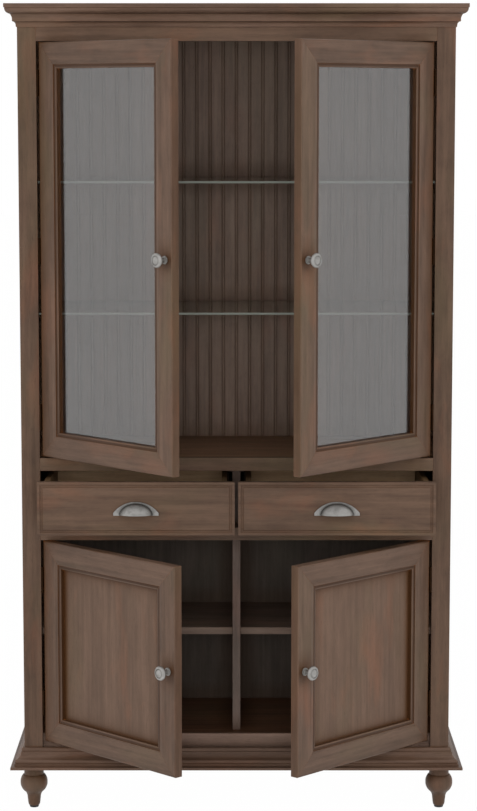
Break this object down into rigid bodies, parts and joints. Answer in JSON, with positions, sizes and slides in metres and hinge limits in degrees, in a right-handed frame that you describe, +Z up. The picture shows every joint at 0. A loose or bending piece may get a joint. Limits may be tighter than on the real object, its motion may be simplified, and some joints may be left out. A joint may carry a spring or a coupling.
{
  "type": "display dresser",
  "caption": "Tall display dresser: glazed doors over glass shelves, side-by-side drawers with cup pulls, panelled cupboard doors below, crown and plinth mouldings, turned feet.",
  "frame": {"origin": "on the floor, on the centre line, midway front to back between the back edge and the open doors' knobs as they rest", "axes": "+Z up, +X to the right of someone facing the front, +Y towards the back"},
  "size_m": [1.042, 0.7148, 1.845],
  "materials": {
    "finished_wood": "brown glazed hardwood, satin lacquer",
    "inside_wood": "brown stained board, satin lacquer",
    "beadboard_wood": "brown stained beadboard",
    "lower_back_board": "dark stained plain board",
    "drawer_box_wood": "olive brown stained board",
    "door_glass": "clear polished",
    "shelf_glass": "clear polished",
    "satin_nickel": "aged satin nickel",
    "dark_bronze": "dark bronze",
    "slide_steel": "dark coated steel",
    "pin_steel": "plain steel",
    "black_nylon": "black nylon"
  },
  "bodies": {
    "cabinet": {"base_platform": "inside_wood", "base_rail": "finished_wood", "beadboard_back": "beadboard_wood", "cabinet_floor": "inside_wood", "cabinet_hinge_leaves": "dark_bronze", "center_divider": "inside_wood", "crown_front": "finished_wood", "crown_returns": "finished_wood", "drawer_rail": "finished_wood", "drawer_slide_channels": "slide_steel", "floor_front_edging": "finished_wood", "foot_glides": "black_nylon", "glass_shelves": "shelf_glass", "hutch_floor": "inside_wood", "hutch_rail": "finished_wood", "left_front_post": "finished_wood", "left_side_panel": "finished_wood", "lower_back": "lower_back_board", "lower_shelves": "inside_wood", "plinth_front": "finished_wood", "plinth_returns": "finished_wood", "right_front_post": "finished_wood", "right_side_panel": "finished_wood", "shelf_pins": "pin_steel", "slide_battens": "drawer_box_wood", "top_panel": "inside_wood", "top_rail": "finished_wood", "turned_feet": "finished_wood"},
    "upper_left_door": {"upper_left_door_glass": "door_glass", "upper_left_door_hinges": "dark_bronze", "upper_left_door_knob": "satin_nickel", "upper_left_door_rails": "finished_wood", "upper_left_door_stiles": "finished_wood"},
    "upper_right_door": {"upper_right_door_glass": "door_glass", "upper_right_door_hinges": "dark_bronze", "upper_right_door_knob": "satin_nickel", "upper_right_door_rails": "finished_wood", "upper_right_door_stiles": "finished_wood"},
    "lower_left_door": {"lower_left_door_hinges": "dark_bronze", "lower_left_door_knob": "satin_nickel", "lower_left_door_panel": "finished_wood", "lower_left_door_rails": "finished_wood", "lower_left_door_stiles": "finished_wood"},
    "lower_right_door": {"lower_right_door_hinges": "dark_bronze", "lower_right_door_knob": "satin_nickel", "lower_right_door_panel": "finished_wood", "lower_right_door_rails": "finished_wood", "lower_right_door_stiles": "finished_wood"},
    "left_drawer": {"left_drawer_back": "drawer_box_wood", "left_drawer_bottom": "drawer_box_wood", "left_drawer_front": "finished_wood", "left_drawer_pull": "satin_nickel", "left_drawer_runners": "slide_steel", "left_drawer_sides": "drawer_box_wood"},
    "right_drawer": {"right_drawer_back": "drawer_box_wood", "right_drawer_bottom": "drawer_box_wood", "right_drawer_front": "finished_wood", "right_drawer_pull": "satin_nickel", "right_drawer_runners": "slide_steel", "right_drawer_sides": "drawer_box_wood"}
  },
  "joints": [
    {"name": "upper_left_door_hinge", "type": "hinge", "parent": "cabinet", "child": "upper_left_door", "pos_m": [-0.4452, -0.02345, 1.2929], "axis": [0, 0, -1], "range_deg": [-46.57, 123.43]},
    {"name": "upper_right_door_hinge", "type": "hinge", "parent": "cabinet", "child": "upper_right_door", "pos_m": [0.4452, -0.02345, 1.2929], "axis": [0, 0, 1], "range_deg": [-46.57, 123.43]},
    {"name": "lower_left_door_hinge", "type": "hinge", "parent": "cabinet", "child": "lower_left_door", "pos_m": [-0.4452, -0.02345, 0.39525], "axis": [0, 0, -1], "range_deg": [-45.89, 124.11]},
    {"name": "lower_right_door_hinge", "type": "hinge", "parent": "cabinet", "child": "lower_right_door", "pos_m": [0.4452, -0.02345, 0.39525], "axis": [0, 0, 1], "range_deg": [-45.89, 124.11]},
    {"name": "left_drawer_slide", "type": "slide", "parent": "cabinet", "child": "left_drawer", "axis": [0, -1, 0], "range_m": [-0.141, 0.099]},
    {"name": "right_drawer_slide", "type": "slide", "parent": "cabinet", "child": "right_drawer", "axis": [0, -1, 0], "range_m": [-0.141, 0.099]}
  ]
}
